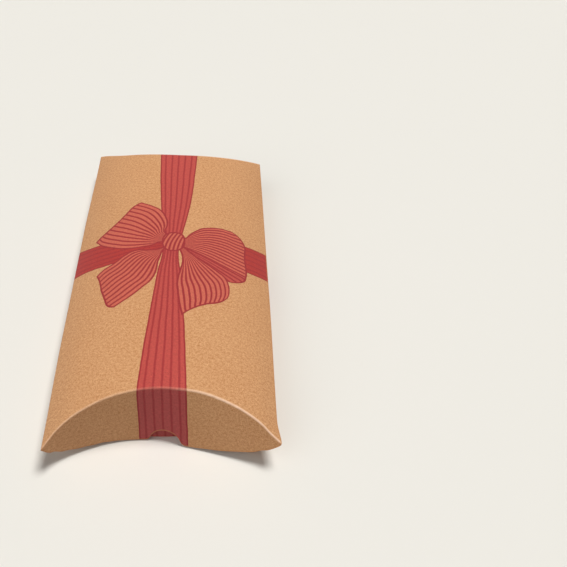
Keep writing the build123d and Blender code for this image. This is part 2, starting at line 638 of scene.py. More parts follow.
class Term:
    """A value on its way through a shader, which sums like a number."""

    def __init__(self, wiring: "Wiring", socket: bpy.types.NodeSocket) -> None:
        """Holds an output of a node and the wiring that it belongs to."""
        self.wiring = wiring
        self.socket = socket

    def __add__(self, other: "Term | float") -> "Term":
        """Sum."""
        return self.wiring.math("ADD", self, other)

    def __sub__(self, other: "Term | float") -> "Term":
        """Difference."""
        return self.wiring.math("SUBTRACT", self, other)

    def __rsub__(self, other: float) -> "Term":
        """Difference from a number."""
        return self.wiring.math("SUBTRACT", other, self)

    def __mul__(self, other: "Term | float") -> "Term":
        """Product."""
        return self.wiring.math("MULTIPLY", self, other)

    def __truediv__(self, other: "Term | float") -> "Term":
        """Quotient."""
        return self.wiring.math("DIVIDE", self, other)

    def size(self) -> "Term":
        """Value without its sign."""
        return self.wiring.math("ABSOLUTE", self)

    def least(self, other: "Term | float") -> "Term":
        """Smaller of two."""
        return self.wiring.math("MINIMUM", self, other)

    def most(self, other: "Term | float") -> "Term":
        """Larger of two."""
        return self.wiring.math("MAXIMUM", self, other)

    def from_step(self, step: float) -> "Term":
        """Distance from the nearest whole number of steps."""
        return self.wiring.math("PINGPONG", self, step / 2)

    def ramp(self, low: float, high: float) -> "Term":
        """Eases the value from 0 to 1.

        Args:
            low: where the result is 0.
            high: where it is 1.

        Returns:
            The eased value.
        """
        node = self.wiring.node("ShaderNodeMapRange", interpolation_type="SMOOTHSTEP")
        self.wiring.join(self, node.inputs["Value"])
        node.inputs["From Min"].default_value = low
        node.inputs["From Max"].default_value = high
        return Term(self.wiring, node.outputs["Result"])

    def through(self, points: Points, span: float, reach: float) -> "Term":
        """Reads a drawn curve.

        Args:
            points: places on the curve, by input from 0 to span and output from -reach
                to reach.
            span: largest input.
            reach: largest output.

        Returns:
            The curve's output.
        """
        node = self.wiring.node("ShaderNodeFloatCurve")
        line = node.mapping.curves[0]
        for number, (along, up) in enumerate(points):
            x, y = along / span, 0.5 + up / (2 * reach)
            if number < 2:
                line.points[number].location = (x, y)
            else:
                line.points.new(x, y)
        node.mapping.update()
        self.wiring.join(self / span, node.inputs["Value"])
        return (Term(self.wiring, node.outputs["Value"]) - 0.5) * (2 * reach)


class Wiring:
    """Adds nodes to one material and joins them."""

    def __init__(self, name: str) -> None:
        """Starts an empty material.

        Args:
            name: of the material.
        """
        self.material = bpy.data.materials.new(name)
        self.material.use_nodes = True
        self.tree = self.material.node_tree
        self.tree.nodes.clear()

    def node(self, kind: str, **settings: object) -> bpy.types.Node:
        """Adds a node.

        Args:
            kind: Blender's name of it.
            settings: its own settings by name.

        Returns:
            The new node.
        """
        made = self.tree.nodes.new(kind)
        for key, value in settings.items():
            setattr(made, key, value)
        return made

    def join(self, source: "Term | float | Colour", target: bpy.types.NodeSocket) -> None:
        """Feeds a socket.

        Args:
            source: the term that is joined to it, or the number or colour that it holds.
            target: the socket.
        """
        if isinstance(source, Term):
            self.tree.links.new(source.socket, target)
        elif isinstance(source, tuple) and target.type == "RGBA":
            target.default_value = (*source, 1.0)
        else:
            target.default_value = source

    def math(self, operation: str, *values: "Term | float") -> Term:
        """Adds a maths node.

        Args:
            operation: what it works out.
            values: its inputs, in order.

        Returns:
            Its result.
        """
        made = self.node("ShaderNodeMath", operation=operation)
        for value, target in zip(values, made.inputs):
            self.join(value, target)
        return Term(self, made.outputs[0])

    def place(self, title: str) -> tuple[Term, Term]:
        """Reads a UV map.

        Args:
            title: name of the map.

        Returns:
            Both of its coordinates.
        """
        source = self.node("ShaderNodeUVMap", uv_map=title)
        split = self.node("ShaderNodeSeparateXYZ")
        self.tree.links.new(source.outputs[0], split.inputs[0])
        return Term(self, split.outputs[0]), Term(self, split.outputs[1])

    def vector(self, x: "Term | float", y: "Term | float", z: "Term | float" = 0.0) -> Term:
        """Joins three values into one vector.

        Args:
            x: its first value.
            y: its second value.
            z: its third value.

        Returns:
            The vector.
        """
        made = self.node("ShaderNodeCombineXYZ")
        for value, target in zip((x, y, z), made.inputs):
            self.join(value, target)
        return Term(self, made.outputs[0])

    def noise(self, where: Term, scale: float, detail: float = 2.0, rough: float = 0.5) -> Term:
        """Makes a soft random value.

        Args:
            where: the place at which it is read.
            scale: how many waves it has in a unit of the place.
            detail: how many finer layers it has.
            rough: how strong each finer layer is.

        Returns:
            The value, from about 0 to 1.
        """
        made = self.node("ShaderNodeTexNoise")
        self.join(where, made.inputs["Vector"])
        made.inputs["Scale"].default_value = scale
        made.inputs["Detail"].default_value = detail
        made.inputs["Roughness"].default_value = rough
        return Term(self, made.outputs["Fac"])

    def cells(self, where: Term, scale: float) -> Term:
        """Scatters points.

        Args:
            where: the place at which they are read.
            scale: how many there are in a unit of the place.

        Returns:
            The distance to the nearest one.
        """
        made = self.node("ShaderNodeTexVoronoi")
        self.join(where, made.inputs["Vector"])
        made.inputs["Scale"].default_value = scale
        return Term(self, made.outputs["Distance"])

    def mix(self, share: "Term | float", first: "Term | Colour", second: "Term | Colour",
            blend: str = "MIX") -> Term:
        """Mixes two colours.

        Args:
            share: of the second colour.
            first: the colour at a share of 0.
            second: the colour at a share of 1.
            blend: how the second goes over the first.

        Returns:
            The mixed colour.
        """
        made = self.node("ShaderNodeMix", data_type="RGBA", blend_type=blend)
        self.join(share, made.inputs[MIX_SHARE])
        self.join(first, made.inputs[MIX_FIRST])
        self.join(second, made.inputs[MIX_SECOND])
        return Term(self, made.outputs[MIX_RESULT])

    def tinted(self, colour: "Term | Colour", strength: Term) -> Term:
        """Makes a colour lighter or darker.

        Args:
            colour: the colour.
            strength: the factor.

        Returns:
            The new colour.
        """
        made = self.node("ShaderNodeVectorMath", operation="SCALE")
        self.join(colour, made.inputs[0])
        self.join(strength, made.inputs["Scale"])
        return Term(self, made.outputs[0])


# Finishes


@dataclass(frozen=True)
class KraftStock:
    """Uncoated kraft: mottled pulp with loose fibres, dark specks and a soft nap.

    paleness is what its brightest pulp adds to its colour, and darkest the least that is
    left of it. cloud, mottle, grain, fibre and speck are how strong each unevenness is, and
    the scales how many of each there are in a millimetre. relief is how high grain, fibres
    and mottle stand in the nap.
    """

    colour: Colour = (0.640, 0.322, 0.141)
    paleness: Colour = (0.413, 0.355, 0.220)
    darkest: Colour = (0.12, 0.05, 0.015)
    shift: float = 0.0
    cloud: float = 0.07
    mottle: float = 0.50
    grain: float = 0.80
    fibre: float = 0.13
    speck: float = 0.34
    cloud_scale: float = 0.045
    mottle_scale: float = 0.8
    grain_scale: float = 2.1
    speck_scale: float = 0.42
    speck_edge: tuple[float, float] = (0.075, 0.03)
    fibre_turns: tuple[float, ...] = (0.35, 1.5, 2.6)
    fibre_scales: tuple[float, float] = (0.38, 3.1)
    fibre_edge: tuple[float, float] = (0.66, 0.74)
    fibre_shift: float = 7.0
    relief: tuple[float, float, float] = (0.8, 0.6, 0.5)
    nap: float = 0.00010
    nap_strength: float = 0.55
    roughness: float = 0.84
    specular: float = 0.28
    sheen: float = 0.06
    sheen_roughness: float = 0.6

    def pulp(self, wiring: Wiring) -> tuple[Term, Term]:
        """Makes the pulp.

        Args:
            wiring: the material that is built.

        Returns:
            Its brightness about 1, and the height of its nap about 0.
        """
        u, v = wiring.place(FLAT_MAP)
        where = wiring.vector(u, v, self.shift)
        cloud = wiring.noise(where, self.cloud_scale, detail=3.0) - 0.5
        mottle = wiring.noise(where, self.mottle_scale, detail=3.0, rough=0.6) - 0.5
        grain = wiring.noise(where, self.grain_scale, detail=2.0, rough=0.7) - 0.5
        fibres = self._fibres(wiring, u, v)
        specks = wiring.cells(where, self.speck_scale).ramp(*self.speck_edge)
        bright = cloud * (2 * self.cloud) + mottle * (2 * self.mottle)
        bright = bright + grain * (2 * self.grain) + fibres * self.fibre - specks * self.speck
        grain_high, fibre_high, mottle_high = self.relief
        height = grain * grain_high + fibres * fibre_high + mottle * mottle_high
        return bright + 1.0, height

    def tone(self, wiring: Wiring, bright: Term) -> Term:
        """The kraft's colour, which is paler where its pulp is brighter."""
        added_light = wiring.tinted(self.paleness, bright - 1.0)
        return wiring.mix(1.0, wiring.mix(1.0, self.colour, added_light, "ADD"), self.darkest, "LIGHTEN")

    def _fibres(self, wiring: Wiring, u: Term, v: Term) -> Term:
        """Scatters long thin fibres in a few directions.

        Args:
            wiring: the material that is built.
            u: place across the sheet.
            v: place along the sheet.

        Returns:
            Light fibres above 0 and dark ones below.
        """
        long, thin = self.fibre_scales
        start, full = self.fibre_edge
        total: Term | None = None
        for number, turn in enumerate(self.fibre_turns):
            along = u * math.cos(turn) + v * math.sin(turn)
            across = v * math.cos(turn) - u * math.sin(turn)
            where = wiring.vector(along * long, across * thin, self.shift + self.fibre_shift * number)
            value = wiring.noise(where, 1.0, detail=1.0)
            streak = value.ramp(start, full) - value.ramp(1.0 - start, 1.0 - full)
            total = streak if total is None else total + streak
        return total

    def shade(self, wiring: Wiring, colour: Term, height: Term, rough: "Term | float") -> None:
        """Ends a material in one matt surface.

        Args:
            wiring: the material that is built.
            colour: of the surface.
            height: of its nap.
            rough: its roughness.
        """
        bump = wiring.node("ShaderNodeBump")
        bump.inputs["Strength"].default_value = self.nap_strength
        bump.inputs["Distance"].default_value = self.nap
        wiring.join(height, bump.inputs["Height"])
        surface = wiring.node("ShaderNodeBsdfPrincipled")
        wiring.join(colour, surface.inputs["Base Color"])
        wiring.join(rough, surface.inputs["Roughness"])
        surface.inputs["Specular IOR Level"].default_value = self.specular
        surface.inputs["Sheen Weight"].default_value = self.sheen
        surface.inputs["Sheen Roughness"].default_value = self.sheen_roughness
        wiring.tree.links.new(bump.outputs[0], surface.inputs["Normal"])
        output = wiring.node("ShaderNodeOutputMaterial")
        wiring.tree.links.new(surface.outputs[0], output.inputs["Surface"])


@dataclass(frozen=True)
class BareBoard:
    """Board without print: the paler inside of the sheet, or the darker raw cut through it."""

    name: str
    stock: KraftStock

    def material(self) -> bpy.types.Material:
        """Builds the material.

        Returns:
            The new material.
        """
        wiring = Wiring(self.name)
        bright, height = self.stock.pulp(wiring)
        self.stock.shade(wiring, self.stock.tone(wiring, bright), height, self.stock.roughness)
        return wiring.material


INSIDE_OF_SHEET = BareBoard("kraft_inside", KraftStock(colour=(0.66, 0.375, 0.185), shift=31.0))
RAW_CUT = BareBoard("kraft_cut", KraftStock(
    colour=(0.50, 0.235, 0.085), shift=57.0, grain=0.3, nap=0.00016, roughness=0.92))


@dataclass(frozen=True)
class Inks:
    """Colours of the print on kraft, and of the ribbon on the flaps with a painted sheen."""

    band: Colour = (0.508, 0.069, 0.053)
    # Ribbon ink for the flaps, less red and a little bluer: a painted sheen for the pale haze over the
    # flaps in shade.
    band_with_painted_sheen: Colour = (0.450, 0.070, 0.064)
    band_line: Colour = (0.330, 0.024, 0.026)
    cross: Colour = (0.424, 0.036, 0.028)
    bow: Colour = (0.590, 0.125, 0.077)
    bow_line: Colour = (0.318, 0.024, 0.026)
    shaded: Colour = (0.500, 0.075, 0.055)


@dataclass(frozen=True)
class Band:
    """A printed ribbon with dark edges and pin-stripes.

    half is half of its width and middle its centre line, both by distance along it from
    start, and reach is the most that either can be. step is the distance between stripes
    as a share of half. line is half of a stripe's width, line_blur how soft its sides are,
    in breadths of a printed edge, and line_strength how dark it is. edge is half of a
    border's width.
    """

    half: Points
    middle: Points
    span: float
    start: float
    reach: float = 16.0
    step: float = 0.353
    line: float = 0.45
    line_blur: float = 3.0
    line_strength: float = 0.85
    edge: float = 0.36
    cross: bool = False


@dataclass(frozen=True)
class Lobe:
    """A loop or a tail of the printed bow, drawn about the knot.

    low and high are the angles of its sides from its axis, by distance from the knot.
    end is the distance of its far end, by the share of the way from low to high. stripes
    is the number of its stripes. The inside of a loop is shaded.
    """

    axis: float
    low: Points
    high: Points
    end: Points
    stripes: int
    shaded: bool = False


LEFT_LOOP = Lobe(
    axis=150.0,
    low=((0, -28), (8.8, -28), (14, -44), (20, -46.5), (27, -43.5), (34, -36), (40, -30.5), (60, -28)),
    high=((0, 34), (7, 36), (11, 46), (17, 45), (24, 40), (32, 31.5), (39, 24), (44, 18), (60, 16)),
    end=((0, 39.4), (0.12, 39.3), (0.33, 37.4), (0.55, 37.6), (0.78, 40.6), (0.92, 42.8), (1, 43.8)),
    stripes=12,
)
LEFT_TAIL = Lobe(
    axis=226.0,
    low=((0, -8), (9, -7), (14.5, -19), (20, -28), (26, -26), (32, -22), (39, -21), (44, -19), (60, -16)),
    high=((0, 2), (9, 8), (13, 15), (17, 19), (23, 24.5), (30, 25.5), (37, 22), (45, 18), (53, 14),
          (60, 13)),
    end=((0, 43.2), (0.2, 44.1), (0.45, 47.3), (0.68, 50.4), (0.88, 53.2), (1, 52.8)),
    stripes=10,
)
RIGHT_LOOP = Lobe(
    axis=0.0,
    low=((0, -46), (6, -42), (13, -37), (21, -34), (31, -31), (37, -28.5), (42, -26.5), (60, -25)),
    high=((0, 20), (6, 26), (10, 38), (16, 40.5), (22, 36.5), (28, 31), (33, 26), (60, 20)),
    end=((0, 42.2), (0.05, 41.8), (0.22, 39.8), (0.34, 38.5), (0.52, 37.9), (0.69, 38.4), (0.8, 37.9),
         (0.9, 36.5), (1, 33.4)),
    stripes=13,
)
RIGHT_LOOP_INSIDE = Lobe(
    axis=0.0,
    low=((0, -56), (12, -54), (20, -50), (30, -48), (37, -46.5), (60, -45)),
    high=((0, -44), (6, -40), (13, -35), (21, -32), (31, -29), (37, -26.5), (42, -24.5), (60, -23)),
    end=((0, 35.5), (0.14, 37.9), (0.3, 40.2), (0.57, 42.5), (0.76, 42.8), (1, 41.6)),
    stripes=5,
    shaded=True,
)
RIGHT_TAIL = Lobe(
    axis=296.0,
    low=((0, 0), (7, -1), (13.8, -7), (22.2, -16.5), (29.3, -21), (36.4, -21.4), (44.7, -21), (53, -20),
         (60, -19)),
    high=((0, 27), (6, 25), (11.6, 20), (18.7, 20), (25.4, 21), (30.7, 21.8), (35.1, 21.8),
          (39.6, 18.6), (44.8, 12.8), (48, 8), (60, 0)),
    end=((0, 53.2), (0.26, 49.7), (0.5, 48.1), (0.86, 48.2), (1, 46.9)),
    stripes=10,
)


@dataclass(frozen=True)
class Bow:
    """The printed bow: a knot, two loops and two tails.

    reach is how far its lobes are drawn from the knot, and swing the most that a lobe's
    angles and ends can be. grown is how far its shapes are spread past their drawn sides.
    hatch is half of a stripe's width, or hatch_share of their distance where that is less.
    """

    x: float = 0.5
    y: float = 7.4
    reach: float = 60.0
    swing: float = 60.0
    knot_left: float = 0.3
    knot_width: float = 6.0
    knot_length: float = 7.7
    knot_square: float = 2.4
    lobes: tuple[Lobe, ...] = (RIGHT_LOOP_INSIDE, RIGHT_LOOP, RIGHT_TAIL, LEFT_TAIL, LEFT_LOOP)
    grown: float = 0.22
    outline: float = 0.48
    hatch: float = 0.52
    hatch_share: float = 0.25
    hatch_soft: float = 0.20
    knot_step: float = 2.1
    knot_bend: float = 0.019


@dataclass(frozen=True)
class PrintedBoard:
    """Outside of the sheet: a red gift ribbon printed on kraft, creases pale with wear and a painted
    highlight, and painted sheen and shade.

    soft is the breadth of a printed edge, and wander how far the print wavers. Ink evens
    out the kraft's mottle, its roughness and its nap. painted_sheen_edge is where the ribbon
    takes on a less red, bluer ink for the flaps, a painted sheen for the pale haze over them
    in shade, and painted_fold_shade_edge where the sheet darkens by painted_fold_shade in the
    side folds, painted shade for the folds turning away from the light, both by distance
    from the middle of the sheet. The creases turn pale by wear and a painted highlight, by
    wear_and_highlight_least and by more to the left and far more to the right, where the
    light catches them, each given by where the growth starts, where it is full, and how much
    it is.
    """

    name: str
    lengthwise: Band
    crosswise: Band | None = None
    bow: Bow | None = None
    inks: Inks = Inks()
    stock: KraftStock = KraftStock()
    soft: float = 0.10
    wander: float = 0.22
    wander_scale: float = 0.13
    ink_mottle: float = 0.55
    ink_gloss: float = 0.12
    ink_filling: float = 0.4
    # Where the ribbon takes the flaps' ink with its painted sheen.
    painted_sheen_edge: tuple[float, float] = (89.9, 90.7)
    # Painted shade: the sheet darkens in the side folds, where they turn away from the light.
    painted_fold_shade_edge: tuple[float, float] = (53.5, 54.3)
    painted_fold_shade: float = 0.28
    # The creases' pale colour: partly wear, partly a painted highlight.
    wear_and_highlight_colour: Colour = (0.93, 0.63, 0.43)
    wear_and_highlight_edge: tuple[float, float] = (1.15, 0.4)
    wear_and_highlight_least: float = 0.28
    # The painted highlight grows a little to the left and much more to the right, where the light catches
    # the creases.
    wear_and_highlight_left: tuple[float, float, float] = (-15.0, -40.0, 0.12)
    wear_and_highlight_right: tuple[float, float, float] = (-5.0, 28.0, 0.72)
    wear_and_highlight_patches: float = 0.3
    wear_and_highlight_ink: float = 0.6
    pressed_colour: Colour = (0.56, 0.24, 0.085)
    pressed_edge: tuple[float, float] = (0.95, 0.35)
    pressed_share: float = 0.55
    seeds: tuple[float, float, float] = (11.0, 23.0, 5.0)

    def material(self) -> bpy.types.Material:
        """Builds the material.

        Returns:
            The new material.
        """
        wiring = Wiring(self.name)
        bright, height = self.stock.pulp(wiring)
        u, v = wiring.place(FLAT_MAP)
        breadth = 2 * self.wander
        drift = wiring.noise(wiring.vector(u, v, self.seeds[0]), self.wander_scale)
        u = u + (drift - 0.5) * breadth
        drift = wiring.noise(wiring.vector(v, u, self.seeds[1]), self.wander_scale)
        v = v + (drift - 0.5) * breadth
        colour = self.stock.tone(wiring, bright)
        ink: Term | None = None
        if self.crosswise:
            colour, ink = self._band(wiring, self.crosswise, u, v, colour, ink)
        colour, ink = self._band(wiring, self.lengthwise, v, u, colour, ink)
        if self.bow:
            colour, ink = self._bow(wiring, u, v, colour, ink)
        colour = self._worn_and_highlit(wiring, u, v, colour, ink)
        faint = (bright - 1.0) * ink * self.ink_mottle + 1.0
        # Painted shade: darkens the sheet in the side folds.
        faint = faint - u.size().ramp(*self.painted_fold_shade_edge) * self.painted_fold_shade
        rough = self.stock.roughness - ink * self.ink_gloss
        height = height * (1.0 - ink * self.ink_filling)
        self.stock.shade(wiring, wiring.tinted(colour, faint), height, rough)
        return wiring.material

    def _worn_and_highlit(self, wiring: Wiring, u: Term, v: Term, colour: Term, ink: Term) -> Term:
        """Wears the creases pale and paints a highlight on them, stronger to the right, and darkens the
        sheet beside its pressed cuts.

        Args:
            wiring: the material that is built.
            u: place across the sheet.
            v: place along the sheet.
            colour: what the wear and the painted highlight go over.
            ink: how much ink lies there.

        Returns:
            The new colour.
        """
        near_crease, near_cut = wiring.place(WEAR_MAP)
        patchy = wiring.noise(wiring.vector(u, v, self.seeds[2]), 0.5, detail=3.0).ramp(0.25, 0.75)
        share: Term | float = self.wear_and_highlight_least
        # Painted highlight: the pale crease grows stronger to the right and a little to the left, where
        # the light catches it.
        for start, full, growth in (self.wear_and_highlight_right, self.wear_and_highlight_left):
            share = u.ramp(start, full) * growth + share
        even = patchy * self.wear_and_highlight_patches + (1.0 - self.wear_and_highlight_patches)
        wear_and_highlight = near_crease.ramp(*self.wear_and_highlight_edge) * even * share * (1.0 - ink * self.wear_and_highlight_ink)
        colour = wiring.mix(wear_and_highlight, colour, self.wear_and_highlight_colour)
        pressed = near_cut.ramp(*self.pressed_edge) * self.pressed_share
        return wiring.mix(pressed, colour, self.pressed_colour)

    def _laid(self, wiring: Wiring, inside: Term, colour: Term, ink: Term | None,
              fill: "Term | Colour") -> tuple[Term, Term]:
        """Lays a shape's fill over what is there, and gives the new colour and amount of ink."""
        cover = inside.ramp(-self.soft / 2, self.soft / 2)
        return wiring.mix(cover, colour, fill), cover if ink is None else ink.most(cover)

    def _band(self, wiring: Wiring, band: Band, along: Term, across: Term, colour: Term,
              ink: Term | None) -> tuple[Term, Term]:
        """Prints one ribbon.

        Args:
            wiring: the material that is built.
            band: the ribbon.
            along: distance along it.
            across: distance across it.
            colour: what lies under it.
            ink: how much ink lies under it.

        Returns:
            The new colour and amount of ink.
        """
        place = along - band.start
        half = place.through(band.half, band.span, band.reach)
        share = (across - place.through(band.middle, band.span, band.reach)) / half
        inside = (1.0 - share.size()) * half
        stripe = share.size().from_step(band.step) * half
        blur = band.line_blur * self.soft
        line = stripe.ramp(band.line + blur, band.line - blur) * band.line_strength
        line = line.most(inside.ramp(2 * band.edge + self.soft, 2 * band.edge - self.soft))
        if band.cross:
            ground = self.inks.cross
        else:
            # Painted sheen: the ribbon on the flaps takes a less red, bluer ink for the haze over it in
            # shade.
            painted_sheen_on_flap = along.size().ramp(*self.painted_sheen_edge)
            ground = wiring.mix(painted_sheen_on_flap, self.inks.band, self.inks.band_with_painted_sheen)
        fill = wiring.mix(line, ground, self.inks.band_line)
        return self._laid(wiring, inside, colour, ink, fill)

    def _bow(self, wiring: Wiring, u: Term, v: Term, colour: Term, ink: Term) -> tuple[Term, Term]:
        """Prints the bow.

        Args:
            wiring: the material that is built.
            u: place across the sheet.
            v: place along the sheet.
            colour: what lies under it.
            ink: how much ink lies under it.

        Returns:
            The new colour and amount of ink.
        """
        x, y = u - self.bow.x, v - self.bow.y
        radius = wiring.math("SQRT", x * x + y * y)
        for lobe in self.bow.lobes:
            colour, ink = self._lobe(wiring, lobe, x, y, radius, colour, ink)
        return self._knot(wiring, x, y, colour, ink)

    def _lobe(self, wiring: Wiring, lobe: Lobe, x: Term, y: Term, radius: Term, colour: Term,
              ink: Term) -> tuple[Term, Term]:
        """Prints one loop or tail.

        Args:
            wiring: the material that is built.
            lobe: what is printed.
            x: place across, from the knot.
            y: place along, from the knot.
            radius: distance from the knot.
            colour: what lies under it.
            ink: how much ink lies under it.

        Returns:
            The new colour and amount of ink.
        """
        turn = math.radians(lobe.axis)
        ahead = x * math.cos(turn) + y * math.sin(turn)
        aside = y * math.cos(turn) - x * math.sin(turn)
        angle = wiring.math("ARCTAN2", aside, ahead) * (180 / math.pi)
        low = radius.through(lobe.low, self.bow.reach, self.bow.swing)
        wide = radius.through(lobe.high, self.bow.reach, self.bow.swing) - low
        share = (angle - low) / wide
        arc = radius * (math.pi / 180)
        end = share.through(lobe.end, 1.0, self.bow.swing)
        inside = (angle - low).least(low + wide - angle) * arc
        inside = inside.least(end - radius) + self.bow.grown
        outline = 2 * self.bow.outline
        line = inside.ramp(outline + self.soft, outline - self.soft)
        pitch = wide * arc / lobe.stripes
        beside = (share * lobe.stripes).from_step(1.0) * pitch
        beside = beside - (pitch * self.bow.hatch_share).least(self.bow.hatch)
        line = line.most(beside.ramp(self.bow.hatch_soft, -self.bow.hatch_soft))
        fill = wiring.mix(line, self.inks.shaded if lobe.shaded else self.inks.bow, self.inks.bow_line)
        return self._laid(wiring, inside, colour, ink, fill)

    def _knot(self, wiring: Wiring, x: Term, y: Term, colour: Term, ink: Term) -> tuple[Term, Term]:
        """Prints the knot, with bent stripes across it.

        Args:
            wiring: the material that is built.
            x: place across, from the knot.
            y: place along, from the knot.
            colour: what lies under it.
            ink: how much ink lies under it.

        Returns:
            The new colour and amount of ink.
        """
        bow = self.bow
        x = x + bow.knot_left
        square = bow.knot_square
        across = wiring.math("POWER", x.size() / bow.knot_width, square)
        along = wiring.math("POWER", y.size() / bow.knot_length, square)
        inside = 1.0 - wiring.math("POWER", across + along, 1 / square)
        inside = inside * ((bow.knot_width + bow.knot_length) / 2)
        from_foot = y + bow.knot_length
        bent = x - from_foot * from_foot * bow.knot_bend
        sides = bow.hatch + bow.hatch_soft, bow.hatch - bow.hatch_soft
        line = bent.from_step(bow.knot_step).ramp(*sides)
        outline = 2 * bow.outline
        line = line.most(inside.ramp(outline + self.soft, outline - self.soft))
        fill = wiring.mix(line, self.inks.bow, self.inks.bow_line)
        return self._laid(wiring, inside, colour, ink, fill)


@dataclass(frozen=True)
class DriedGlue:
    """Carton glue, dried to a clear amber skin."""

    name: str = "dried_glue"
    colour: Colour = (0.62, 0.46, 0.22)
    lump_scale: float = 0.6
    lump_height: float = 0.0002
    skin: float = 0.4

    def material(self) -> bpy.types.Material:
        """Builds the material.

        Returns:
            The new material.
        """
        wiring = Wiring(self.name)
        lumps = wiring.noise(wiring.vector(*wiring.place(FLAT_MAP)), self.lump_scale, detail=3.0)
        surface = wiring.node("ShaderNodeBsdfPrincipled")
        wiring.join(wiring.tinted(self.colour, lumps * 0.5 + 0.75), surface.inputs["Base Color"])
        wiring.join(lumps * 0.3 + 0.2, surface.inputs["Roughness"])
        surface.inputs["Coat Weight"].default_value = self.skin
        bump = wiring.node("ShaderNodeBump")
        bump.inputs["Distance"].default_value = self.lump_height
        wiring.join(lumps, bump.inputs["Height"])
        wiring.tree.links.new(bump.outputs[0], surface.inputs["Normal"])
        output = wiring.node("ShaderNodeOutputMaterial")
        wiring.tree.links.new(surface.outputs[0], output.inputs["Surface"])
        return wiring.material


LENGTHWISE = Band(
    half=((0, 11.0), (20, 10.8), (40, 10.45), (62, 9.4), (88, 7.7), (115, 5.55), (128, 4.1), (137, 4.2),
          (147, 5.4), (158, 6.8), (178, 8.6), (200, 9.9), (224, 10.8), (260, 10.9)),
    middle=((0, -0.6), (20, -0.7), (40, -0.85), (88, -0.9), (128, -1.0), (137, -0.5), (150, -0.3),
            (170, 0.1), (210, 0.1), (260, 0.2)),
    span=260.0,
    start=-130.0,
)
CROSSWISE = Band(
    half=((0, 10.7), (6, 10.4), (13, 9.7), (20, 9.3), (28, 8.8), (44, 7.0), (60, 4.4), (76, 7.0),
          (92, 10.1), (99, 10.35), (106, 10.5), (114, 10.6), (120, 10.7)),
    middle=((0, 5.9), (6, 5.5), (13, 4.35), (20, 3.3), (28, 2.4), (60, 6.0), (92, 2.8), (99, 3.4),
            (106, 4.2), (114, 5.5), (120, 6.1)),
    span=120.0,
    start=-60.0,
    cross=True,
)
STRAIGHT_LENGTHWISE = Band(half=((0, 10.7), (260, 10.7)), middle=((0, 0), (260, 0)), span=260.0,
                           start=-130.0)
STRAIGHT_CROSSWISE = Band(half=((0, 10.4), (120, 10.4)), middle=((0, 6.1), (120, 6.1)), span=120.0,
                          start=-60.0, cross=True)


@dataclass(frozen=True)
class Finishes:
    """Every material of the box."""

    top: bpy.types.Material
    bottom: bpy.types.Material
    inside: bpy.types.Material
    cut: bpy.types.Material
    glue: bpy.types.Material

    @classmethod
    def mixed(cls) -> "Finishes":
        """Builds the materials, each once.

        Returns:
            The finishes.
        """
        return cls(
            PrintedBoard("ribbon_print_top", LENGTHWISE, CROSSWISE, Bow()).material(),
            PrintedBoard("ribbon_print_bottom", STRAIGHT_LENGTHWISE, STRAIGHT_CROSSWISE).material(),
            INSIDE_OF_SHEET.material(),
            RAW_CUT.material(),
            DriedGlue().material(),
        )


# Pieces of the box


def added(board: Board, materials: Sequence[bpy.types.Material]) -> bpy.types.Object:
    """Puts a board into the scene.

    Args:
        board: what is built.
        materials: for its outside, inside and cuts.

    Returns:
        The new object.
    """
    made = bpy.data.objects.new(board.name, board.mesh())
    bpy.context.scene.collection.objects.link(made)
    for material in materials:
        made.data.materials.append(material)
    return made


def lifted(x: np.ndarray, y: np.ndarray, z: np.ndarray, blank: Blank) -> np.ndarray:
    """Joins coordinates into points over the table, from z over mid height."""
    return np.stack(np.broadcast_arrays(x, y, z + blank.half_height), -1)


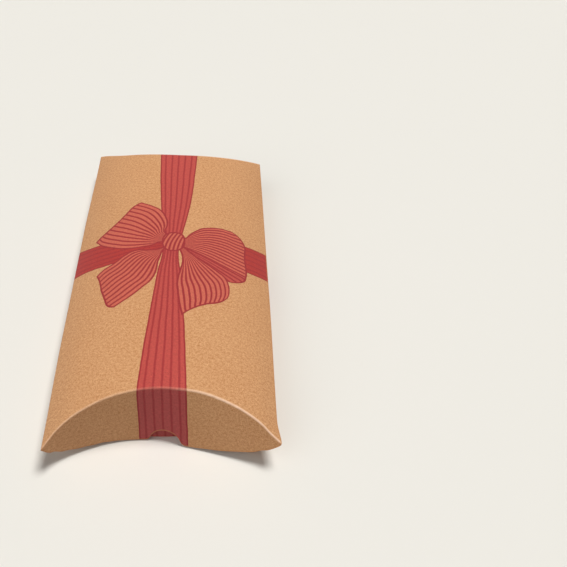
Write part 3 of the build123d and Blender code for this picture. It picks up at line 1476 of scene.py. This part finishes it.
@dataclass
class Panel:
    """A bowed panel, rounded into its creases at both ends.

    last is the border on the seam's side. The bow gets too steep beside the side folds to
    give the slices' thickness, so its slope is read no nearer to them than fold_margin.
    """

    node: str
    side: Side
    section: Section
    front: Crease
    rear: Crease
    last: Border
    blank: Blank
    settling: Settling
    rows: int = 104
    fold_margin: float = 1.0

    def board(self) -> Board:
        """Lays out the panel.

        Returns:
            The panel's board.
        """
        blank, section, sign = self.blank, self.section, self.side.value
        height = section.z * sign
        side = blank.width / 2 - self.fold_margin
        slope = blank.steepness(np.clip(section.x, -side, side))
        y, z, flat_v = self._lines(section.x, height, blank.board * slope, height, Face.OUTSIDE)
        outer = self._settled(np.broadcast_to(section.x, y.shape), y, z)
        inner_x, inner_z = section.inner(blank.board)
        order = np.argsort(section.x)
        over = np.interp(inner_x, section.x[order], height[order])
        thick = np.maximum(over - inner_z * sign, blank.board)
        y, z, _ = self._lines(inner_x, over, thick, inner_z * sign, Face.INSIDE)
        inner = self._settled(np.broadcast_to(inner_x, y.shape), y, z)
        flat = np.stack([np.broadcast_to(section.run, y.shape), flat_v], -1)
        return Board(f"{self.node}_board", outer, inner, flat, self._wear(flat_v),
                     (Border.JOINED, Border.JOINED, Border.JOINED, self.last))

    def _lines(self, x: np.ndarray, over: np.ndarray, thick: np.ndarray, level: np.ndarray,
               face: Face) -> tuple[np.ndarray, np.ndarray, np.ndarray]:
        """Lines of one face along the box, from the front crease to the rear one.

        Args:
            x: of each column.
            over: height of the outer face over each column.
            thick: thickness of the board in each column's slice.
            level: height of this face in each column.
            face: which face it is.

        Returns:
            y, z and the place along the flat sheet, by row and column.
        """
        ends = []
        for crease in (self.front, self.rear):
            y, _, radius, reach = crease.centre(x, over, thick)
            if face is Face.INSIDE:
                radius = np.full_like(x, crease.inner_radius)
            halfway = crease.halfway(x)
            angle = halfway + (math.pi / 2 - halfway) * crease.shares
            ends.append((y + radius * np.cos(angle), level - radius + radius * np.sin(angle),
                         crease.corner_y + over + reach * crease.shares))
        (front_y, front_z, front_v), (rear_y, rear_z, rear_v) = ends
        share = np.linspace(0.0, 1.0, self.rows + 1)[1:-1, None]
        middle_y = front_y[-1] + (-rear_y[-1] - front_y[-1]) * share
        y = np.concatenate([front_y, middle_y, -rear_y[::-1]])
        z = np.concatenate([front_z, np.broadcast_to(level, middle_y.shape), rear_z[::-1]])
        middle_v = front_v[-1] + (-rear_v[-1] - front_v[-1]) * share
        v = np.concatenate([front_v, middle_v, -rear_v[::-1]])
        return y, z, v

    def _settled(self, x: np.ndarray, y: np.ndarray, z: np.ndarray) -> np.ndarray:
        """Moves one face to where it is on the made-up box.

        Args:
            x: distances from the middle of the box.
            y: distances along the box.
            z: heights over mid height, towards the panel's crown.

        Returns:
            The face's points.
        """
        lift = self.settling.lift(x, y, self.blank)
        points = lifted(x, y, self.side.value * (z + lift), self.blank)
        return self.settling.settled(points, self.side, self.blank)

    def _wear(self, flat_v: np.ndarray) -> np.ndarray:
        """Measures what the crease wear, its painted highlight and the pressed cuts depend on.

        Args:
            flat_v: places along the flat sheet.

        Returns:
            Distances of each point from the nearest crease, and from the raw edge.
        """
        run = self.section.run
        height = self.section.z * self.side.value
        from_front = flat_v - (self.front.corner_y + height)
        from_rear = -(self.rear.corner_y + height) - flat_v
        crease = np.minimum(from_front, from_rear)
        cut = run[-1] - run if self.last is Border.CUT else np.full_like(run, FAR_AWAY)
        return np.stack([crease, np.broadcast_to(cut, crease.shape)], -1)


@dataclass(frozen=True)
class FlapOutline:
    """Free edge of a flap: how far it reaches from its crease at each x.

    tips are the distances of the left and the right tip from the middle. Towards a tip the
    edge is rounded, from tip_rounds away and down to tip_share of its reach. The reach is
    the crease's height over mid height, share of that height once more, tip_depth, and
    trim by x.
    """

    tips: tuple[float, float]
    share: float
    tip_depth: float = 0.0
    notch_radius: float = 0.0
    notch_round: float = 1.2
    tip_rounds: tuple[float, float] = (1.8, 6.0)
    trim: Points = ((-50.0, 0.0), (50.0, 0.0))
    tip_share: float = 0.10
    tip_fullness: float = 2.6
    plain_half: float = 9.0
    plain_columns: int = 10
    bowl_columns: int = 17
    lip_columns: int = 7
    side_columns: int = 60
    tip_columns: int = 14

    @property
    def notch_edge(self) -> float:
        """Distance from the middle to the outer end of the notch's lip."""
        return math.sqrt(self.notch_radius**2 + 2 * self.notch_radius * self.notch_round)

    @property
    def notch_turn(self) -> float:
        """Distance from the middle to where the notch's bowl runs into its lip."""
        return self.notch_radius * self.notch_edge / (self.notch_radius + self.notch_round)

    def _cut(self, x: np.ndarray) -> np.ndarray:
        """Cuts the rounded thumb notch.

        Args:
            x: where it is read.

        Returns:
            The notch's depth at each x.
        """
        if not self.notch_radius:
            return np.zeros_like(x)
        beside, edge = np.abs(x), self.notch_edge
        bowl = np.sqrt(np.maximum(self.notch_radius**2 - beside**2, 0.0))
        lip = self.notch_round - np.sqrt(np.maximum(self.notch_round**2 - (edge - beside) ** 2, 0.0))
        return np.where(beside <= self.notch_turn, bowl, np.where(beside < edge, lip, 0.0))

    def reach(self, x: np.ndarray, blank: Blank) -> np.ndarray:
        """Measures the flap from its crease to its free edge.

        Args:
            x: where it is measured.
            blank: sizes of the sheet.

        Returns:
            The length at each x.
        """
        full = blank.rise(x) * (1 + self.share) + self.tip_depth + eased(x, self.trim)
        rounding = np.where(x < 0, *self.tip_rounds)
        near_tip = np.maximum(1.0 - self.from_tip(x) / rounding, 0.0)
        rounded = np.sqrt(np.maximum(1 - near_tip**self.tip_fullness, 0.0))
        return (full - self._cut(x)) * (self.tip_share + (1 - self.tip_share) * rounded)

    def from_tip(self, x: np.ndarray) -> np.ndarray:
        """Distance of each x from the nearer tip."""
        return np.where(x < 0, *self.tips) - np.abs(x)

    def columns(self) -> np.ndarray:
        """Places the flap's columns, close together round the notch and at the tips.

        Returns:
            The x of each column.
        """
        quarter = math.pi / 2
        if self.notch_radius:
            edge, turn = self.notch_edge, self.notch_turn
            bowl = turn * np.sin(np.linspace(0.0, quarter, self.bowl_columns))
            lip = edge - (edge - turn) * np.cos(np.linspace(0.0, quarter, self.lip_columns))[1:]
            half = np.concatenate([bowl, lip])
        else:
            half = np.linspace(0.0, self.plain_half, self.plain_columns)
        sides = []
        for tip, rounding in zip(self.tips, self.tip_rounds):
            start = tip - rounding
            plain = np.linspace(half[-1], start, self.side_columns)[1:]
            end = start + rounding * np.sin(np.linspace(0, quarter, self.tip_columns))[1:]
            sides.append(np.concatenate([half, plain, end]))
        return np.concatenate([-sides[0][:0:-1], sides[1]])


@dataclass
class Flap:
    """An end flap, which hangs from its crease.

    bend is how long its bend would be, measured square to the plane in which its crease
    lies, and lag how much later the inner ply would start to turn; nothing bends the flap.
    A flap that opens wide is made in two plies: lining is the outer ply's share of the sheet.
    """

    node: str
    end: End
    side: Side
    crease: Crease
    outline: FlapOutline
    section: Section
    blank: Blank
    settling: Settling
    rows: int = 30
    bend: float = 8.0
    lining: float = 0.25
    lag: float = 0.26

    def board(self) -> Board:
        """Lays out the flap as one sheet.

        Returns:
            The flap's board.
        """
        blank, crease = self.blank, self.crease
        x = self.outline.columns()
        height = blank.rise(x)
        thick = blank.board * blank.steepness(x)
        y0, z0, radius, start = crease.centre(x, height, thick)
        lean, halfway = crease.leaning(x), crease.halfway(x)
        angle = halfway + (math.pi - lean - halfway) * crease.shares
        reach = self.outline.reach(x, blank)
        far = np.linspace(0.0, 1.0, self.rows + 1)[1:, None] * (reach - start)
        faces = []
        for size in (radius, np.full_like(x, crease.inner_radius)):
            arc_y, arc_z = y0 + size * np.cos(angle), z0 + size * np.sin(angle)
            flat_y = arc_y[-1] - far * np.sin(lean)
            flat_z = arc_z[-1] - far * np.cos(lean)
            y, z = np.concatenate([arc_y, flat_y]), np.concatenate([arc_z, flat_z])
            points = lifted(x, -self.end.value * y, self.side.value * z, blank)
            faces.append(self.settling.settled(points, self.side, blank))
        along = np.concatenate([start * crease.shares, start + far])
        corner = crease.corner_y + height
        run = np.interp(x, self.section.x, self.section.run)
        flat = np.stack([np.broadcast_to(run, along.shape), -self.end.value * (corner - along)], -1)
        wear = np.stack([along, np.minimum(reach - along, self.outline.from_tip(x))], -1)
        return Board(f"{self.node}_board", faces[0], faces[1], flat, wear,
                     (Border.JOINED, Border.CUT, Border.CUT, Border.CUT))

    def plies(self) -> tuple[Board, Board]:
        """Splits the sheet in two.

        Returns:
            The outer ply, which is printed, and the rest of the sheet.
        """
        whole = self.board()
        middle = whole.outer + (whole.inner - whole.outer) * self.lining
        return (replace(whole, name=f"{self.node}_liner", inner=middle),
                replace(whole, outer=middle))

    def hang(self, made: bpy.types.Object, late: float = 0.0) -> None:
        """Bakes a ply's place into its mesh; where its bend would start and run is worked out but not
        used.

        Args:
            made: the ply.
            late: how much nearer to mid height its bend would start; not used.
        """
        up = self.side.value
        y = self.crease.corner_y + self.blank.half_height
        z = self.blank.half_height * (1 + up) - up * late
        start = Vector((0.0, -self.end.value * y, z)) * MILLIMETRE
        way = Vector((0.0, -self.end.value, -up)).normalized() * self.bend * MILLIMETRE
        tuple(start + way)
        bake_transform(made)


@dataclass(frozen=True)
class PillowBox:
    """The whole box, whose pieces stand for the frame's eight nodes and keep their places."""

    blank: Blank = Blank()
    settling: Settling = Settling()
    front_lean: Lean = Lean()
    rear_lean: Lean = Lean(middle=6.4, twist=-1.6, twist_reach=25.0, left_side=2.0, right_side=2.0)
    outer_outline: FlapOutline = FlapOutline(
        tips=(49.6, 49.0), share=0.785, tip_depth=3.5, notch_radius=7.0, notch_round=2.4,
        trim=((-49.6, -2.4), (-46.5, 0.6), (-43.0, 2.6), (-38.0, 2.9), (-33.5, 1.9), (-26.0, 0.4),
              (-19.0, 0.0), (8.0, 0.1), (20.0, -0.4), (30.0, -0.5), (38.5, -0.2), (44.0, -1.1),
              (49.0, -1.6)),
    )
    inner_outline: FlapOutline = FlapOutline(tips=(47.0, 47.0), share=0.5294)

    def crease(self, end: End, side: Side) -> Crease:
        """Draws the crease of one flap, as if it were at the front.

        Args:
            end: of the box.
            side: the panel that the flap hangs on.

        Returns:
            The crease.
        """
        if side is Side.TOP:
            lean = self.front_lean if end is End.FRONT else self.rear_lean
            return Crease(self.blank, -self.blank.half_length, lean)
        return Crease(self.blank, -self.blank.half_length + self.blank.inner_setback, None)

    def build(self, finishes: Finishes) -> None:
        """Builds and dresses every piece.

        Args:
            finishes: what the pieces are dressed in.
        """
        for side, title, section, ink, last in (
            (Side.TOP, "top_panel", self.blank.top_section(), finishes.top, Border.CUT),
            (Side.BOTTOM, "bottom_panel", self.blank.bottom_section(), finishes.bottom, Border.JOINED),
        ):
            panel = Panel(title, side, section, self.crease(End.FRONT, side),
                          self.crease(End.REAR, side), last, self.blank, self.settling)
            self._place(panel.board(), (ink, finishes.inside, finishes.cut), title)
            for end in End:
                self._flap(end, side, section, ink, finishes)
        self._seam(finishes)

    def _flap(self, end: End, side: Side, section: Section, ink: bpy.types.Material,
              finishes: Finishes) -> None:
        """Builds one flap and hangs it from its crease.

        Args:
            end: of the box.
            side: the panel that it hangs on.
            section: that panel's outer line.
            ink: the printed material of its outside.
            finishes: what the rest of it is dressed in.
        """
        top = side is Side.TOP
        layer, outline = ("outer", self.outer_outline) if top else ("inner", self.inner_outline)
        node = f"{end.title}_{layer}_flap"
        flap = Flap(node, end, side, self.crease(end, side), outline, section, self.blank, self.settling)
        if top:
            liner, backing = flap.plies()
            plies = [(liner, (ink, ink, finishes.cut), 0.0),
                     (backing, (finishes.inside, finishes.inside, finishes.cut), flap.lag)]
        else:
            plies = [(flap.board(), (ink, finishes.inside, finishes.cut), 0.0)]
        for board, finish, late in plies:
            made = added(board, finish)
            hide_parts(node)
            flap.hang(made, late)
            LOG.info("%s bends between the sleeve and %s", made.name, node)

    def _seam(self, finishes: Finishes) -> None:
        """Builds the glue flap and the glue.

        Args:
            finishes: what they are dressed in.
        """
        blank = self.blank
        section = blank.glue_flap_section()
        root = blank.half_length - blank.glue_flap_setback
        bared = np.clip((section.run - section.run[blank.fold_steps]) / blank.glue_flap_width, 0, 1)
        reach = root - blank.glue_flap_taper * bared
        board = self._strip("glue_flap_board", section, reach, blank.board, 0.0,
                            (Border.CUT, Border.CUT, Border.JOINED, Border.CUT))
        self._place(board, (finishes.inside, finishes.inside, finishes.cut), "glue_flap")
        glue = blank.glue_section()
        end = root - blank.glue_flap_taper - blank.glue_margin
        strip = self._strip("dried_glue", glue, np.full_like(glue.x, end), blank.glue, 0.5,
                            (Border.CUT,) * 4)
        self._place(strip, (finishes.glue,) * 3, "glue_line")

    def _strip(self, name: str, section: Section, reach: np.ndarray, depth: float, ragged: float,
               borders: tuple[Border, Border, Border, Border]) -> Board:
        """Lays out a strip along the seam.

        Args:
            name: of the piece.
            section: its outer line.
            reach: how far it goes to the front and to the rear, in each column.
            depth: its thickness.
            ragged: how far its ends wander.
            borders: the kinds of its borders.

        Returns:
            The strip.
        """
        share = np.linspace(-1.0, 1.0, STRIP_ROWS)[:, None]
        wander = ragged * np.sin(section.run * GLUE_WAVES) * np.abs(share) ** 8
        y = share * (reach - np.abs(wander))
        inner_x, inner_z = section.inner(depth)
        faces = [self.settling.settled(lifted(x, y, z, self.blank), Side.BOTTOM, self.blank)
                 for x, z in ((section.x, section.z), (inner_x, inner_z))]
        flat = np.stack([np.broadcast_to(section.run, y.shape), y], -1)
        return Board(name, faces[0], faces[1], flat, np.full_like(flat, FAR_AWAY), borders)

    def _place(self, board: Board, materials: Sequence[bpy.types.Material], node: str) -> None:
        """Adds a piece that rides on the sleeve.

        Args:
            board: what is built.
            materials: for its outside, inside and cuts.
            node: the frame's node that it stands for.
        """
        made = added(board, materials)
        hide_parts(node)
        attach(made, "sleeve")
        LOG.info("%s stands for %s", made.name, node)


# The studio


@dataclass(frozen=True)
class Softbox:
    """Broad light from far away, whose rays come from a wide patch of sky.

    right and rear are the angles in degrees by which it stands off the vertical.
    """

    name: str
    right: float
    rear: float
    spread: float
    strength: float
    colour: Colour = (1.0, 1.0, 1.0)

    def hang(self) -> None:
        """Adds the light to the scene."""
        data = bpy.data.lights.new(self.name, "SUN")
        data.angle = math.radians(self.spread)
        data.energy = self.strength
        data.color = self.colour
        lamp = bpy.data.objects.new(self.name, data)
        toward = Vector((math.tan(math.radians(self.right)), math.tan(math.radians(self.rear)), 1.0))
        lamp.rotation_euler = toward.to_track_quat("Z", "Y").to_euler()
        lamp.location = toward
        bpy.context.scene.collection.objects.link(lamp)
        LOG.info("%s stands %g degrees right and %g to the rear", self.name, self.right, self.rear)


@dataclass(frozen=True)
class Studio:
    """Pale floor, soft light and the camera.

    The camera sees the floor. The box is lit from below by a darker card in the floor's
    place and by a weak glow, which shows its underside. The glow fades into the ambient
    light above it over horizon, in both directions.
    """

    floor_colour: Colour = (0.83, 0.805, 0.742)
    backdrop: Colour = (0.88, 0.847, 0.775)
    floor_size: float = 6000.0
    floor_gap: float = 0.25
    ambient: float = 0.06
    glow_below: float = 0.50
    horizon: float = 0.02
    card_colour: Colour = (0.475, 0.455, 0.43)
    image: int = 567
    sensor: float = 36.0
    focal_pixels: float = 723.9
    camera_place: tuple[float, float, float] = (16.4, -283.5, 279.2)
    heading: float = 8.543
    pitch: float = 42.960
    roll: float = 6.730
    lamps: tuple[Softbox, ...] = (
        Softbox("overhead_softbox", 13.0, 2.0, 20.0, 2.58),
        Softbox("left_softbox", -42.0, -40.0, 55.0, 0.90),
    )

    def build(self) -> None:
        """Sets up everything around the box."""
        self._floor()
        self._world()
        for lamp in self.lamps:
            lamp.hang()
        self._camera()
        bpy.context.scene.view_settings.view_transform = "Standard"

    def _floor(self) -> None:
        """Adds the floor, which can't be seen from below, and the card under it."""
        floor = self._sheet("studio_floor", self.floor_gap, self.floor_colour)
        floor.visible_diffuse = False
        card = self._sheet("bounce_card", 2 * self.floor_gap, self.card_colour)
        card.visible_camera = False
        card.visible_glossy = False

    def _sheet(self, name: str, gap: float, colour: Colour) -> bpy.types.Object:
        """Adds a level sheet that throws no shadow.

        Args:
            name: of the sheet.
            gap: from the box down to it.
            colour: of its upper side; its lower side is clear.

        Returns:
            The sheet.
        """
        half = self.floor_size / 2 * MILLIMETRE
        low = -gap * MILLIMETRE
        mesh = bpy.data.meshes.new(name)
        mesh.from_pydata([(-half, -half, low), (half, -half, low), (half, half, low), (-half, half, low)],
                         [], [(0, 1, 2, 3)])
        sheet = bpy.data.objects.new(name, mesh)
        sheet.visible_shadow = False
        bpy.context.scene.collection.objects.link(sheet)
        wiring = Wiring(f"{name}_paper")
        diffuse = wiring.node("ShaderNodeBsdfDiffuse")
        diffuse.inputs["Color"].default_value = (*colour, 1.0)
        clear = wiring.node("ShaderNodeBsdfTransparent")
        mix = wiring.node("ShaderNodeMixShader")
        side = wiring.node("ShaderNodeNewGeometry")
        output = wiring.node("ShaderNodeOutputMaterial")
        links = wiring.tree.links
        links.new(side.outputs["Backfacing"], mix.inputs[0])
        links.new(diffuse.outputs[0], mix.inputs[1])
        links.new(clear.outputs[0], mix.inputs[2])
        links.new(mix.outputs[0], output.inputs["Surface"])
        mesh.materials.append(wiring.material)
        LOG.info("%s lies under the box", name)
        return sheet

    def _world(self) -> None:
        """Lights the scene evenly, and shows the backdrop's colour where there is no floor."""
        world = bpy.data.worlds.new("studio_light")
        bpy.context.scene.world = world
        world.use_nodes = True
        tree = world.node_tree
        tree.nodes.clear()
        glow = tree.nodes.new("ShaderNodeBackground")
        glow.inputs["Color"].default_value = (1.0, 1.0, 1.0, 1.0)
        way = tree.nodes.new("ShaderNodeTexCoord")
        split = tree.nodes.new("ShaderNodeSeparateXYZ")
        below = tree.nodes.new("ShaderNodeMapRange")
        below.inputs["From Min"].default_value = self.horizon
        below.inputs["From Max"].default_value = -self.horizon
        below.inputs["To Min"].default_value = self.ambient
        below.inputs["To Max"].default_value = self.glow_below
        tree.links.new(way.outputs["Generated"], split.inputs[0])
        tree.links.new(split.outputs["Z"], below.inputs["Value"])
        tree.links.new(below.outputs["Result"], glow.inputs["Strength"])
        seen = tree.nodes.new("ShaderNodeBackground")
        seen.inputs["Color"].default_value = (*self.backdrop, 1.0)
        seen.inputs["Strength"].default_value = 1.0
        path = tree.nodes.new("ShaderNodeLightPath")
        is_seen = path.outputs["Is Camera Ray"]
        for ray in ("Is Glossy Ray", "Is Transmission Ray"):
            either = tree.nodes.new("ShaderNodeMath")
            either.operation = "MAXIMUM"
            tree.links.new(is_seen, either.inputs[0])
            tree.links.new(path.outputs[ray], either.inputs[1])
            is_seen = either.outputs[0]
        mix = tree.nodes.new("ShaderNodeMixShader")
        output = tree.nodes.new("ShaderNodeOutputWorld")
        tree.links.new(is_seen, mix.inputs[0])
        tree.links.new(glow.outputs[0], mix.inputs[1])
        tree.links.new(seen.outputs[0], mix.inputs[2])
        tree.links.new(mix.outputs[0], output.inputs["Surface"])

    def _camera(self) -> None:
        """Stands the camera where the photograph was taken from."""
        data = bpy.data.cameras.new("camera")
        data.sensor_width = self.sensor
        data.lens = self.focal_pixels * self.sensor / self.image
        data.clip_start, data.clip_end = 0.01, 50.0
        turn, down, roll = (math.radians(v) for v in (self.heading, self.pitch, self.roll))
        ahead = Vector((math.sin(turn) * math.cos(down), math.cos(turn) * math.cos(down), -math.sin(down)))
        level = Vector((math.cos(turn), -math.sin(turn), 0.0))
        above = level.cross(ahead)
        right = level * math.cos(roll) + above * math.sin(roll)
        up = above * math.cos(roll) - level * math.sin(roll)
        camera = bpy.data.objects.new("camera", data)
        camera.matrix_world = Matrix.LocRotScale(
            Vector(self.camera_place) * MILLIMETRE,
            Matrix((right, up, -ahead)).transposed(),
            None,
        )
        bpy.context.scene.collection.objects.link(camera)
        bpy.context.scene.camera = camera


def main() -> None:
    """Builds the box and its studio around the frame."""
    logging.basicConfig(level=logging.INFO, format="%(name)s: %(message)s")
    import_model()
    PillowBox().build(Finishes.mixed())
    Studio().build()


if __name__ == "__main__":
    main()
